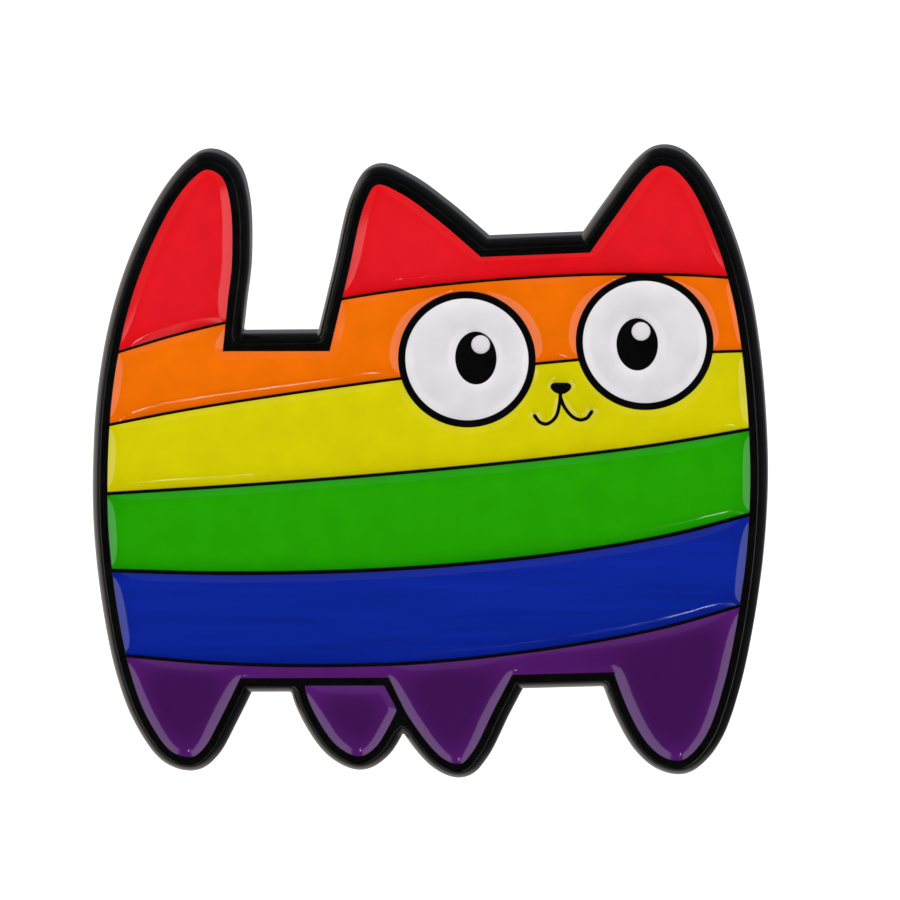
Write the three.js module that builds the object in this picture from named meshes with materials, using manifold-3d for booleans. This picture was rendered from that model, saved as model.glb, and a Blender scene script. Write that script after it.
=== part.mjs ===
// Enamel pin: a flat cartoon cat in six soft-enamel stripes, with two posts and two butterfly clutches.
// Millimetres. +X is to the right of the face, +Z is up and the face looks along -Y.
// The origin is the middle of the back panel. Each piece is drawn lying on its back, with x to the
// right, y up the face and z towards the viewer, and stand() turns it upright.

import * as THREE from 'three';
import { mergeVertices } from 'three/addons/utils/BufferGeometryUtils.js';
import Module from 'manifold-3d';

const wasm = await Module();
wasm.setup();

// ---------------------------------------------------------------- driving dimensions

const PLATE_THICKNESS = 2.2;      // back face to the top of the rim
const RIM_WIDTH = 0.94;           // enamel edge to the outside wall
const LAND_WIDTH = 0.44;          // the flat part of the rim, next to the enamel
const ROUND_HEIGHT = 0.85;        // how far the rim's rounded shoulder drops
const SHOULDER_STEPS = 2;
const POCKET_FLOOR = 1.25;        // height of the pockets' floor above the back face
const ENAMEL_TOP = 1.9;
const SEAT_GAP = 0.02;            // enamel to metal, all round
const LINE_WIDTHS = [0.15, 0.16, 0.19, 0.22, 0.19];   // raised lines between the stripes, from the top
const MOUTH_WIDTH = 0.2;
const LEG_LINE = 0.45;            // raised band between the hind leg and the body

const PANEL = { width: 7, height: 5, depth: 0.1 };   // smooth blank panel, sunk into the back
const BACK = -PANEL.depth;        // the back face, with the panel's floor at 0

// Behind the plate, lengths run backwards from the back face.
const POST = { spread: 9.5, height: 1, radius: 0.575, length: 8.6, point: 1.7,
  flange: 1.6, flangeThickness: 0.35, groove: 6.1, grooveDepth: 0.12, grooveLength: 0.5 };

// A clutch's own lengths run backwards from the face that lies on the cloth.
const CUP = { radius: 5.75, depth: 2.9, metal: 0.32, corner: 0.75, lip: 0.6, bore: 0.78,
  boss: 1.2, bossHeight: 0.15, standOff: 1.2 };
const WING = { metal: 0.25, reach: 1.7, lowLeaf: 1.2, highLeaf: 1.95, leafEnd: 3.2, jawGap: 0.035,
  slotEnd: 1.4, neck: 4.45, neckWidth: 4, width: 6.4, top: 6.4, tip: 5.7 };

const FLATNESS = 0.015;           // how far a facet may stand off its curve
const MAX_TURN = 0.3;             // radians between two facets of a curve
const FINE_TURN = 0.13;           // the same on the tight curves of the nose and mouth

// ---------------------------------------------------------------- the drawing on the face

// Edge of the enamel on the body, clockwise from the left flank. Each run is one smooth curve, and the
// outline has a corner where a run ends and the next begins.
const BODY_EDGE = [
  [[-11.55, 6.55], [-5.48, 6.55]],                                                   // back
  [[-5.48, 6.55], [-4.37, 10.92], [-3.33, 15], [-2.66, 16.01], [-1.29, 15.5],         // left ear
    [0.76, 14], [3.15, 11.9]],
  [[3.15, 11.9], [9.3, 12.14]],                                                     // crown
  [[9.3, 12.14], [10.81, 14.28], [12.57, 16.58], [13.28, 17.04], [14, 16.88],         // right ear, flank
    [15.01, 15.79], [16.44, 12.61], [17.32, 9.42], [17.8, 6.38], [18.1, 2.84],
    [18.2, -1.02], [17.95, -5.06], [17.41, -8.92], [16.64, -12.56], [15.71, -15.3],
    [14.84, -16.55], [14.11, -17.02], [13.16, -16.8], [12.21, -15.94], [11.24, -14.18],
    [10.4, -11.91]],
  [[10.4, -11.91], [4.6, -12.08]],                                                // belly
  [[4.6, -12.08], [3.52, -14.13], [2.31, -16.52], [1.58, -17.25], [0.58, -16.9],    // front foot
    [-1.22, -14.65], [-2.4, -12.26]],
  [[-2.4, -12.26], [-10.92, -12.31]],                                                // belly
  [[-10.92, -12.31], [-12.04, -14.55], [-13.07, -16.37], [-13.79, -16.9],           // rear foot, flank
    [-14.91, -16.58], [-16.25, -14.65], [-17.19, -11.96], [-17.91, -7.9],
    [-18.27, -3.54], [-18.2, 0.5], [-17.84, 4.36], [-17.01, 8.42], [-15.77, 11.94],
    [-14.14, 15.06], [-12.94, 16.5], [-12.25, 16.9], [-11.43, 16.5], [-10.98, 15.05],
    [-10.93, 11.66], [-11.26, 9.12], [-11.55, 6.55]],
];

// Edge of the enamel on the far hind leg. Its top runs on under the body, which covers it.
const HIND_LEG_EDGE = [
  [[-0.96, -11.38], [-7.26, -11.38]],
  [[-7.26, -11.38], [-7.16, -13.04], [-6.46, -14.77], [-5.35, -16.28], [-4.17, -16.83],
    [-3.32, -16.36], [-2.48, -15.1], [-1.63, -13.29], [-0.96, -11.38]],
];

// Centre lines of the raised lines between the stripes, from past the left flank to past the right.
const BEYOND = 19.5;
const STRIPE_LINES = [
  [[-BEYOND, 5.89], [-13.44, 7.69], [-4.59, 9.55], [1.66, 10.4], [9.11, 10.88], [14.51, 10.86],
    [BEYOND, 10.53]],
  [[-BEYOND, 2.05], [-13.19, 3.28], [-1.6, 4.97], [6.11, 5.81], [12.21, 6.33], [BEYOND, 6.58]],
  [[-BEYOND, -1.71], [-9, -1.03], [-0.4, -0.32], [7.25, 0.46], [12.91, 1.18], [BEYOND, 2.3]],
  [[-BEYOND, -6.04], [-11.81, -6.22], [-4.01, -6.07], [2.99, -5.58], [8.6, -4.9], [13.85, -3.95],
    [BEYOND, -2.44]],
  [[-BEYOND, -10.83], [-12.32, -11.44], [-6.02, -11.57], [-0.01, -11.34], [7.39, -10.45],
    [13.2, -9.33], [BEYOND, -7.46]],
];

// White and ring are the radii of an eye's white and of the black ring around it.
const EYES = [
  {
    side: 'left', centre: [2.28, 6.07], white: 3.48, ring: 3.89,
    pupil: [2.79, 6.15], pupilSize: [1.17, 1.51], glint: [3.07, 6.92],
  },
  {
    side: 'right', centre: [12.32, 7.05], white: 3.48, ring: 3.88,
    pupil: [11.9, 6.92], pupilSize: [1.17, 1.49], glint: [12.12, 7.66],
  },
];
const GLINT_RADIUS = 0.53;

const NOSE = [[6.98, 4.51], [7.09, 4.69], [7.57, 4.74], [8.06, 4.69], [8.17, 4.51], [7.97, 4.22],
  [7.57, 4.08], [7.18, 4.22]];
const MOUTH = [
  [[7.55, 4.15], [7.48, 3.5], [7.29, 2.83], [7.02, 2.52], [6.69, 2.37], [6.34, 2.5], [6.06, 2.86]],
  [[7.56, 3.87], [7.66, 3.56], [7.86, 3.19], [8.22, 2.79], [8.63, 2.61], [9.02, 2.72], [9.3, 3.08]],
];

const NOTCH_MIDDLE = -8.5;        // x between the tail and the head

// ---------------------------------------------------------------- colours

const finish = (color, roughness, metalness) =>
  new THREE.MeshStandardMaterial({ color, roughness, metalness });
const BLACK_METAL = finish(0x151517, 0.35, 0.9);
const SILVER_METAL = finish(0xc9cacd, 0.25, 1);
const ENAMEL = {
  red: finish(0xe81c26, 0.15, 0),
  orange: finish(0xf07a0e, 0.15, 0),
  yellow: finish(0xdccd06, 0.15, 0),
  green: finish(0x28a50a, 0.15, 0),
  blue: finish(0x1230a8, 0.15, 0),
  purple: finish(0x4c1265, 0.15, 0),
  white: finish(0xe4e2e6, 0.15, 0),
};

// ---------------------------------------------------------------- curves

// Points along a smooth curve, closer together where it bends more. The last point is left out.
function flatten(curve, maxTurn, from = 0, to = 1) {
  const start = curve.getPoint(from);
  const end = curve.getPoint(to);
  const middle = curve.getPoint((from + to) / 2);
  const sag = start.clone().add(end).multiplyScalar(0.5).distanceTo(middle);
  const turn = curve.getTangent(from).angleTo(curve.getTangent(to));
  if (to - from < 0.3 && sag < FLATNESS && turn < maxTurn) return [[start.x, start.y]];
  const half = (from + to) / 2;
  return [...flatten(curve, maxTurn, from, half), ...flatten(curve, maxTurn, half, to)];
}

const spline = (points, closed) =>
  new THREE.CatmullRomCurve3(points.map(([x, y]) => new THREE.Vector3(x, y, 0)), closed);

// A run of two points stays straight.
const smooth = (points, maxTurn = MAX_TURN) =>
  points.length === 2 ? points.slice(0, 1) : flatten(spline(points, false), maxTurn);
const smoothRing = points => flatten(spline(points, true), FINE_TURN);
const outline = runs => runs.flatMap(run => smooth(run));

function ellipse([x, y], [radiusX, radiusY], count = 40) {
  return Array.from({ length: count }, (_, i) => {
    const angle = 2 * Math.PI * i / count;
    return [x + radiusX * Math.cos(angle), y + radiusY * Math.sin(angle)];
  });
}

const circle = (centre, radius, count) => ellipse(centre, [radius, radius], count);

// The direction a quarter turn to the right of the way from a to b.
function rightOf(a, b) {
  const length = Math.hypot(b[0] - a[0], b[1] - a[1]);
  return [(b[1] - a[1]) / length, (a[0] - b[0]) / length];
}

// Moves point b of the path a, b, c to its left, so that both of its edges move by the same distance.
function mitred(a, b, c, distance) {
  const n = rightOf(a, b);
  const m = rightOf(b, c);
  const scale = distance / (1 + n[0] * m[0] + n[1] * m[1]);
  return [b[0] - (n[0] + m[0]) * scale, b[1] - (n[1] + m[1]) * scale];
}

// A clockwise ring grown by a distance, with its inside corners kept sharp.
const grown = (ring, distance) => ring.map((point, i) =>
  mitred(ring.at(i - 1), point, ring[(i + 1) % ring.length], distance));

const openCurve = (points, maxTurn) => [...smooth(points, maxTurn), points.at(-1)];

// The outline of a line of the given width along an open path, with round ends.
function ribbon(path, width) {
  const side = (route, distance) => route.map((point, i) => {
    const before = route[i - 1] ?? [2 * point[0] - route[i + 1][0], 2 * point[1] - route[i + 1][1]];
    const after = route[i + 1] ?? [2 * point[0] - route[i - 1][0], 2 * point[1] - route[i - 1][1]];
    return mitred(before, point, after, distance);
  });
  const cap = (end, next) => {
    const heading = Math.atan2(end[1] - next[1], end[0] - next[0]);
    return [0.25, 0, -0.25].map(turn => [
      end[0] + width / 2 * Math.cos(heading + turn * Math.PI),
      end[1] + width / 2 * Math.sin(heading + turn * Math.PI)]);
  };
  const back = path.toReversed();
  return [...side(path, width / 2), ...cap(path.at(-1), path.at(-2)),
    ...side(back, width / 2), ...cap(path[0], path[1])];
}

// ---------------------------------------------------------------- solids

function toSolid(geometry) {
  geometry.deleteAttribute('normal');
  geometry.deleteAttribute('uv');
  const merged = mergeVertices(geometry, 1e-5);
  return new wasm.Manifold(new wasm.Mesh({
    numProp: 3,
    vertProperties: merged.attributes.position.array,
    triVerts: new Uint32Array(merged.index.array),
  }));
}

function toGeometry(solid) {
  const mesh = solid.getMesh();
  const geometry = new THREE.BufferGeometry();
  geometry.setAttribute('position', new THREE.BufferAttribute(mesh.vertProperties, 3));
  geometry.setIndex(new THREE.BufferAttribute(mesh.triVerts, 1));
  return geometry;
}

const toShape = ring => new THREE.Shape(ring.map(([x, y]) => new THREE.Vector2(x, y)));
const rectangle = (left, right, low, high) => [[left, low], [right, low], [right, high], [left, high]];
const union = solids => solids.reduce((sum, solid) => sum.add(solid));

function prism(ring, low, high) {
  const geometry = new THREE.ExtrudeGeometry(toShape(ring), { depth: high - low, bevelEnabled: false });
  return toSolid(geometry.translate(0, 0, low));
}

// Stands a piece up: what was its top becomes its front.
function stand(name, solid, material) {
  const mesh = new THREE.Mesh(toGeometry(solid).rotateX(Math.PI / 2), material);
  mesh.name = name;
  return mesh;
}

// ---------------------------------------------------------------- plate and enamel

const bodyEdge = outline(BODY_EDGE);
const hindLegEdge = outline(HIND_LEG_EDGE).toReversed();

// One layer of the plate: a straight wall with a rounded shoulder up to the flat of the rim.
function rimmed(edge) {
  const shoulder = new THREE.ExtrudeGeometry(toShape(grown(edge, LAND_WIDTH)), {
    depth: PLATE_THICKNESS - ROUND_HEIGHT,
    bevelSize: RIM_WIDTH - LAND_WIDTH,
    bevelThickness: ROUND_HEIGHT,
    bevelSegments: SHOULDER_STEPS,
  });
  const belowBack = prism(rectangle(-BEYOND, BEYOND, -BEYOND, BEYOND), -PLATE_THICKNESS, 0);
  return toSolid(shoulder).subtract(belowBack);
}

// The area between two of the stripe lines, or above the first or below the last one.
function band(index, low, high) {
  const above = STRIPE_LINES[index - 1] ?? [[-BEYOND, BEYOND], [BEYOND, BEYOND]];
  const below = STRIPE_LINES[index] ?? [[-BEYOND, -BEYOND], [BEYOND, -BEYOND]];
  return prism([...openCurve(above), ...openCurve(below).toReversed()], low, high);
}

// The enamel areas between two heights, drawn in by the clearance on every side.
function cells(low, high, clearance) {
  const at = ring => prism(ring, low, high);
  const raised = [
    ...STRIPE_LINES.map((line, i) => at(ribbon(openCurve(line), LINE_WIDTHS[i] + 2 * clearance))),
    ...EYES.map(eye => at(circle(eye.centre, eye.ring + clearance, 52))),
    ...MOUTH.map(line => at(ribbon(openCurve(line, FINE_TURN), MOUTH_WIDTH + 2 * clearance))),
    at(smoothRing(clearance ? grown(NOSE, clearance) : NOSE)),
  ];
  const field = at(grown(bodyEdge, -clearance)).subtract(union(raised));
  const stripe = index => field.intersect(band(index, low, high));
  const westOf = (solid, x) => solid.intersect(at(rectangle(-BEYOND, x, -BEYOND, BEYOND)));
  const eastOf = (solid, x) => solid.intersect(at(rectangle(x, BEYOND, -BEYOND, BEYOND)));
  const rightEye = EYES[1].centre[0];
  const bodyAndLine = at(grown(bodyEdge, LEG_LINE + clearance));
  const found = {
    enamel_red_tail: westOf(stripe(0), NOTCH_MIDDLE),
    enamel_red_head: eastOf(stripe(0), NOTCH_MIDDLE),
    enamel_orange_body: westOf(stripe(1), rightEye),
    enamel_orange_cheek: eastOf(stripe(1), rightEye),
    enamel_yellow: stripe(2),
    enamel_green: stripe(3),
    enamel_blue: stripe(4),
    enamel_purple_body: stripe(5),
    enamel_purple_hind_leg: at(grown(hindLegEdge, -clearance)).subtract(bodyAndLine),
  };
  for (const eye of EYES) {
    const [pupilX, pupilY] = eye.pupilSize;
    const pupil = at(ellipse(eye.pupil, [pupilX + clearance, pupilY + clearance], 30));
    const white = at(circle(eye.centre, eye.white - clearance, 48));
    found[`enamel_white_${eye.side}_eye`] = white.subtract(pupil);
    found[`enamel_white_${eye.side}_glint`] = at(circle(eye.glint, GLINT_RADIUS - clearance, 20));
  }
  return found;
}

function basePlate() {
  const pockets = union(Object.values(cells(POCKET_FLOOR, PLATE_THICKNESS + 1, 0)));
  const { width, height } = PANEL;
  const panel = prism(rectangle(-width / 2, width / 2, -height / 2, height / 2), BACK, 0);
  const blank = rimmed(bodyEdge).add(rimmed(hindLegEdge)).subtract(pockets);
  return stand('base_plate', blank.translate(0, 0, BACK).subtract(panel), BLACK_METAL);
}

function enamel() {
  const fills = cells(POCKET_FLOOR + SEAT_GAP, ENAMEL_TOP, SEAT_GAP);
  return Object.entries(fills).map(([name, solid]) =>
    stand(name, solid.translate(0, 0, BACK), ENAMEL[name.split('_')[1]]));
}

// ---------------------------------------------------------------- posts and clutches

// A turned piece whose profile runs [radius, distance behind its own start].
function turned(profile, segments) {
  const points = profile.map(([radius, back]) => new THREE.Vector2(radius, back));
  return toSolid(new THREE.LatheGeometry(points, segments).rotateX(-Math.PI / 2));
}

// A soldered post with a flange, a groove for the clutch's jaws and a sharp point.
function post(side) {
  const { radius, length, point, flange, flangeThickness, groove, grooveDepth, grooveLength } = POST;
  const waist = radius - grooveDepth;
  const solid = turned([
    [0, 0], [flange - 0.1, 0], [flange, 0.1], [flange, flangeThickness - 0.1],
    [flange - 0.15, flangeThickness], [radius + 0.3, flangeThickness], [radius, flangeThickness + 0.3],
    [radius, groove], [waist, groove + grooveDepth],
    [waist, groove + grooveLength], [radius, groove + grooveLength + grooveDepth],
    [radius, length - point], [radius * 0.55, length - point * 0.3], [0.09, length - 0.06], [0, length],
  ], 16);
  const x = side === 'left' ? -POST.spread : POST.spread;
  return stand(`${side}_post`, solid.translate(x, POST.height, BACK - SEAT_GAP), BLACK_METAL);
}

// The stamped dish that lies on the cloth, with its edge curled in over the wings.
function clutchCup() {
  const { radius, depth, metal, corner, lip, bore, boss, bossHeight } = CUP;
  const inner = radius - metal;
  return turned([
    [bore, 0], [radius - corner, 0], [radius - corner * 0.3, corner * 0.3], [radius, corner],
    [radius, depth - 0.3], [radius - 0.3, depth], [radius - lip, depth], [radius - lip, depth - metal],
    [inner - 0.1, depth - metal], [inner, depth - metal - 0.1],
    [inner, corner + 0.1], [inner - corner * 0.3, metal + corner * 0.3], [inner - corner, metal],
    [boss + 0.2, metal], [boss, metal + bossHeight], [bore, metal + bossHeight], [bore, 0],
  ], 28);
}

// One spring wing: a leaf with a jaw that holds the post, a foot on the dish's floor, and a blade that
// stands out of the dish. It reaches towards +x.
function clutchWing(leaf) {
  const { metal, reach, leafEnd, jawGap, slotEnd, neck, neckWidth, width, top, tip } = WING;
  const path = [[-reach, leaf], ...openCurve([[leafEnd, leaf], [4.05, 0.84], [4.4, 0.95], [neck, 1.6],
    [neck, 2.9], [neck + 0.3, 4.3], [tip, top]])];
  const sideways = new THREE.Matrix4().makeBasis(
    new THREE.Vector3(1, 0, 0), new THREE.Vector3(0, 0, -1), new THREE.Vector3(0, 1, 0));
  const flat = { depth: width, bevelEnabled: false };
  const strip = new THREE.ExtrudeGeometry(toShape(ribbon(path, metal)), flat);
  strip.translate(0, 0, -width / 2).applyMatrix4(sideways);

  // Seen end on: half the outline, and the same mirrored.
  const edge = openCurve([[neckWidth / 2, 2.9], [width / 2, 4.3], [width / 2 - 0.3, 5.5], [1.7, top],
    [0, top + 0.2]]);
  const half = [[neckWidth / 2, 0], ...edge];
  const mirrored = half.slice(0, -1).toReversed().map(([across, back]) => [-across, back]);
  const endOn = new THREE.Matrix4().makeBasis(
    new THREE.Vector3(0, 1, 0), new THREE.Vector3(0, 0, -1), new THREE.Vector3(-1, 0, 0));
  const through = { depth: 2 * (reach + tip), bevelEnabled: false };
  const silhouette = new THREE.ExtrudeGeometry(toShape([...half, ...mirrored]), through);
  silhouette.translate(0, 0, -reach - tip).applyMatrix4(endOn);

  const jaw = POST.radius + jawGap;
  const slot = prism(circle([0, 0], jaw, 20), -CUP.depth, 0)
    .add(prism(rectangle(0, slotEnd, -jaw, jaw), -CUP.depth, 0));
  return toSolid(strip).intersect(toSolid(silhouette)).subtract(slot);
}

function clutch(side) {
  const x = side === 'left' ? -POST.spread : POST.spread;
  const outward = side === 'left' ? 180 : 0;
  const place = solid => solid.translate(x, POST.height, BACK - CUP.standOff);
  const wing = (leaf, turn) => place(clutchWing(leaf).rotate(0, 0, turn));
  return [
    stand(`${side}_clutch_cup`, place(clutchCup()), SILVER_METAL),
    stand(`${side}_clutch_outer_wing`, wing(WING.lowLeaf, outward), SILVER_METAL),
    stand(`${side}_clutch_inner_wing`, wing(WING.highLeaf, outward + 180), SILVER_METAL),
  ];
}

// ---------------------------------------------------------------- the assembly

const pin = new THREE.Group();
pin.add(basePlate(), ...enamel());
for (const side of ['left', 'right']) pin.add(post(side), ...clutch(side));

export default pin;
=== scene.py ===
"""Enamel pin: a flat cartoon cat in striped soft enamel, with two posts and two butterfly clutches.

Shapes are worked out in millimetres, from the outlines and boxes of the frame's nodes, and turned into
metres when a mesh is made. On the face, a ring is an outline of [x, z] points.
"""

import math

import bmesh
import bpy
import numpy as np
from mathutils import Matrix, Vector
from mathutils.geometry import delaunay_2d_cdt
from mathutils.kdtree import KDTree

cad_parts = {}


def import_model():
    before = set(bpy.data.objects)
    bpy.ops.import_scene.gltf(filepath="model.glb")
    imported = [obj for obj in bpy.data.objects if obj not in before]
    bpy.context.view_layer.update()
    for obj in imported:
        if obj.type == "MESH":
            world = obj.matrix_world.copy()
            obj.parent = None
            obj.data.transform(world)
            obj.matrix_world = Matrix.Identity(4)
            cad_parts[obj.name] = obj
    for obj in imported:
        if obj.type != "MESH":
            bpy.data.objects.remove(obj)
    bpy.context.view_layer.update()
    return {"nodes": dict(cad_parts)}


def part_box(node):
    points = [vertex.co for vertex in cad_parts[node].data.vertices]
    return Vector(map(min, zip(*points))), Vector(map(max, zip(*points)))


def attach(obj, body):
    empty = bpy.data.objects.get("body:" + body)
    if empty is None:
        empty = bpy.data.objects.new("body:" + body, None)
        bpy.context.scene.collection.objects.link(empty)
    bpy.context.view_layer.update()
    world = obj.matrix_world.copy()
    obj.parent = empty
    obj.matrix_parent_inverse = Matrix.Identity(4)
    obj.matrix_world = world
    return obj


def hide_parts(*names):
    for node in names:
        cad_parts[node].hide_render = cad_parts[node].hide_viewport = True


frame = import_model()

MM = 0.001

# ---------------------------------------------------------------- driving dimensions, in mm

SEAT_GAP = 0.02            # CAD enamel to the pocket's wall
BITE = 0.008               # how far the enamel reaches into the wall, so that no gap shows
POCKET_EDGE = 0.012        # rounding of the raised lines' edges
SHOULDER_WIDTH = 0.48      # outside wall to the flat of the rim
SHOULDER_DROP = 0.85
SHOULDER_SWEEP = 72        # degrees that the shoulder turns through before its crease
LIP = 0.02                 # the shoulder stands this much proud of the flat land
LIP_WIDTH = 0.04
CORNER_EASE = 1            # points on each side of an outside corner that are rounded with it
SHOULDER_STEPS = 12
BACK_EDGE = 0.12           # rounding of the back edge
BACK_EDGE_STEPS = 4
CUT_BEYOND = 1             # how far a cutter reaches past the surface that it cuts
PANEL_CORNER = 0.4         # radius of the sunk panel's corners
PANEL_DRAFT = 0.06         # how far the panel's sides lean out
RING_STEP = 0.1            # spacing of points along an outline

MENISCUS_RISE = 0.26       # how far the enamel climbs its walls
MENISCUS_REACH = 0.65      # distance over which the climb dies away
THIN_LINE = 0.3            # a raised line narrower than this is low, and the enamel climbs less there
THIN_LINE_RISE = 0.85      # as a share of the full climb
CLIMB_EASE = 20            # rounds of smoothing where a thin line meets a broad one
SHORT_GAP = 12             # half the points in the longest broad stretch of a line that counts as thin

CORNER = 0.4               # radians: a sharper turn is a corner
SURE_CORNER = 1.2          # radians: a corner even between short edges
SHORT_EDGE = 0.12
SHARPEST_LEAN = 0.25       # limits the length of a mitre
SPLINE_STEPS = 12          # points between two knots
OVERLAP = 3                # knots repeated at the ends, to close a smooth ring


# ---------------------------------------------------------------- outlines

def face_rings(node, y):
    """The outlines of a CAD node's flat face at that y, the longest first."""
    mesh = frame["nodes"][node].data
    points = [tuple(round(c / MM, 4) for c in v.co) for v in mesh.vertices]
    edges = set()
    for polygon in mesh.polygons:
        corners = [points[i] for i in polygon.vertices]
        if all(abs(corner[1] - y) < 0.001 for corner in corners):
            edges.update(zip(corners, corners[1:] + corners[:1]))
    following = {a: b for a, b in edges if (b, a) not in edges}
    rings = []
    while following:
        start = point = next(iter(sorted(following)))
        ring = []
        while point in following:
            ring.append((point[0], point[2]))
            point = following.pop(point)
        rings.append(np.array(ring))
    return sorted(rings, key=lambda ring: -perimeter(ring))


def perimeter(ring):
    return np.linalg.norm(np.roll(ring, -1, 0) - ring, axis=1).sum()


def area(ring):
    x, z = ring.T
    return (x * np.roll(z, -1) - z * np.roll(x, -1)).sum() / 2


def turns(ring):
    """The turn at each point, in radians."""
    ahead = np.roll(ring, -1, 0) - ring
    behind = ring - np.roll(ring, 1, 0)
    cross = behind[:, 0] * ahead[:, 1] - behind[:, 1] * ahead[:, 0]
    return np.abs(np.arctan2(cross, (behind * ahead).sum(1)))


def is_corner(ring):
    ahead = np.linalg.norm(np.roll(ring, -1, 0) - ring, axis=1)
    shortest = np.minimum(ahead, np.roll(ahead, 1))
    turn = turns(ring)
    return (turn > SURE_CORNER) | ((turn > CORNER) & (shortest > SHORT_EDGE))


def spline(points, steps=SPLINE_STEPS):
    """A centripetal Catmull-Rom curve through the points, from the first to the last."""
    ends = [2 * points[0] - points[1]], [2 * points[-1] - points[-2]]
    knots = np.concatenate([ends[0], points, ends[1]])
    curve = []
    for a, b, c, d in zip(knots, knots[1:], knots[2:], knots[3:]):
        t = np.cumsum([0] + [np.linalg.norm(q - p) ** 0.5 for p, q in ((a, b), (b, c), (c, d))])
        for u in np.linspace(t[1], t[2], steps, endpoint=False):
            ab = a + (b - a) * (u - t[0]) / (t[1] - t[0])
            bc = b + (c - b) * (u - t[1]) / (t[2] - t[1])
            cd = c + (d - c) * (u - t[2]) / (t[3] - t[2])
            abc = ab + (bc - ab) * (u - t[0]) / (t[2] - t[0])
            bcd = bc + (cd - bc) * (u - t[1]) / (t[3] - t[1])
            curve.append(abc + (bcd - abc) * (u - t[1]) / (t[2] - t[1]))
    curve.append(points[-1])
    return np.array(curve)


def evenly(curve, step):
    """The same curve with evenly spaced points, without its last point."""
    way = np.concatenate([[0], np.cumsum(np.linalg.norm(np.diff(curve, axis=0), axis=1))])
    count = max(1, round(way[-1] / step))
    at = np.linspace(0, way[-1], count, endpoint=False)
    return np.column_stack([np.interp(at, way, axis) for axis in curve.T])


def smooth_ring(ring, step=RING_STEP):
    """The smooth outline that a faceted one stands for. Its corners stay sharp."""
    corners = np.flatnonzero(is_corner(ring))
    if len(corners) == 0:
        curve = spline(np.concatenate([ring[-OVERLAP:], ring, ring[:OVERLAP + 1]]))
        spare = OVERLAP * SPLINE_STEPS
        return evenly(curve[spare:-spare], step)
    runs = []
    for first, last in zip(corners, np.roll(corners, -1)):
        if last <= first:
            last += len(ring)
        run = ring[np.arange(first, last + 1) % len(ring)]
        runs.append(evenly(spline(run) if len(run) > 2 else run, step))
    return np.concatenate(runs)


def eased(ring, reach):
    """The ring with its corners rounded, over that many points on each side."""
    near = np.zeros(len(ring), bool)
    for corner in np.flatnonzero(is_corner(ring)):
        near[np.arange(corner - reach, corner + reach + 1) % len(ring)] = True
    for _ in range(reach):
        middle = (np.roll(ring, 1, 0) + 2 * ring + np.roll(ring, -1, 0)) / 4
        ring = np.where(near[:, None], middle, ring)
    return ring


def grown(ring, distance):
    """The ring moved outwards, with mitred corners. An outline inside another one is clockwise."""
    behind = ring - np.roll(ring, 1, 0)
    ahead = np.roll(ring, -1, 0) - ring
    before, after = outward(behind), outward(ahead)
    lean = np.maximum(1 + (before * after).sum(1), SHARPEST_LEAN)
    return ring + (before + after) / lean[:, None] * distance


def outward(edges):
    """Unit vectors to the right of the edges, which is outwards on a ring that turns anticlockwise."""
    return np.column_stack([edges[:, 1], -edges[:, 0]]) / np.linalg.norm(edges, axis=1)[:, None]


def inside(points, ring):
    """Which of the points lie inside the ring."""
    x, z = points.T
    found = np.zeros(len(points), bool)
    for (ax, az), (bx, bz) in zip(ring, np.roll(ring, -1, 0)):
        if az != bz:
            crosses = (az > z) != (bz > z)
            found ^= crosses & (x < (bx - ax) * (z - az) / (bz - az) + ax)
    return found


def in_area(points, rings):
    """Which of the points lie inside the first ring and outside the others."""
    found = inside(points, rings[0])
    for hole in rings[1:]:
        found &= ~inside(points, hole)
    return found


# ---------------------------------------------------------------- meshes

def build(name, vertices, faces, materials, smooth=None):
    """A mesh object from millimetres. Edges sharper than smooth, in degrees, stay sharp."""
    mesh = bpy.data.meshes.new(name)
    places = (np.asarray(vertices) * MM).tolist()
    mesh.from_pydata(places, [], [list(map(int, face)) for face in faces])
    tidy = bmesh.new()
    tidy.from_mesh(mesh)
    bmesh.ops.recalc_face_normals(tidy, faces=tidy.faces)
    tidy.to_mesh(mesh)
    tidy.free()
    for material in materials:
        mesh.materials.append(material)
    piece = bpy.data.objects.new(name, mesh)
    bpy.context.scene.collection.objects.link(piece)
    if smooth is not None:
        soften(piece, smooth)
    return piece


def soften(piece, degrees):
    piece.data.shade_smooth()
    piece.data.set_sharp_from_angle(angle=math.radians(degrees))


def at_depth(ring, y):
    return np.column_stack([ring[:, 0], np.full(len(ring), y), ring[:, 1]])


def loft(rings, capped=True):
    """A skin through rings of equally many points, from the first to the last, with flat ends."""
    count = len(rings[0])
    around = np.arange(count)
    beyond = np.roll(around, -1)
    faces = []
    for row in range(len(rings) - 1):
        low, high = row * count, (row + 1) * count
        faces += list(zip(around + low, beyond + low, beyond + high, around + high))
    if capped:
        faces += [around[::-1], around + (len(rings) - 1) * count]
    return np.concatenate(rings), faces


def joined(parts):
    """Several (vertices, faces) pairs as one."""
    vertices, faces, start = [], [], 0
    for part_vertices, part_faces in parts:
        vertices.append(part_vertices)
        faces += [[i + start for i in face] for face in part_faces]
        start += len(part_vertices)
    return np.concatenate(vertices), faces


def apply_modifiers(piece):
    shaped = piece.evaluated_get(bpy.context.evaluated_depsgraph_get())
    mesh = bpy.data.meshes.new_from_object(shaped)
    piece.modifiers.clear()
    piece.data = mesh


def subtract(piece, cutter):
    modifier = piece.modifiers.new("cut", "BOOLEAN")
    modifier.operation = "DIFFERENCE"
    modifier.solver = "MANIFOLD"
    modifier.object = cutter
    apply_modifiers(piece)
    bpy.data.objects.remove(cutter)


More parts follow.
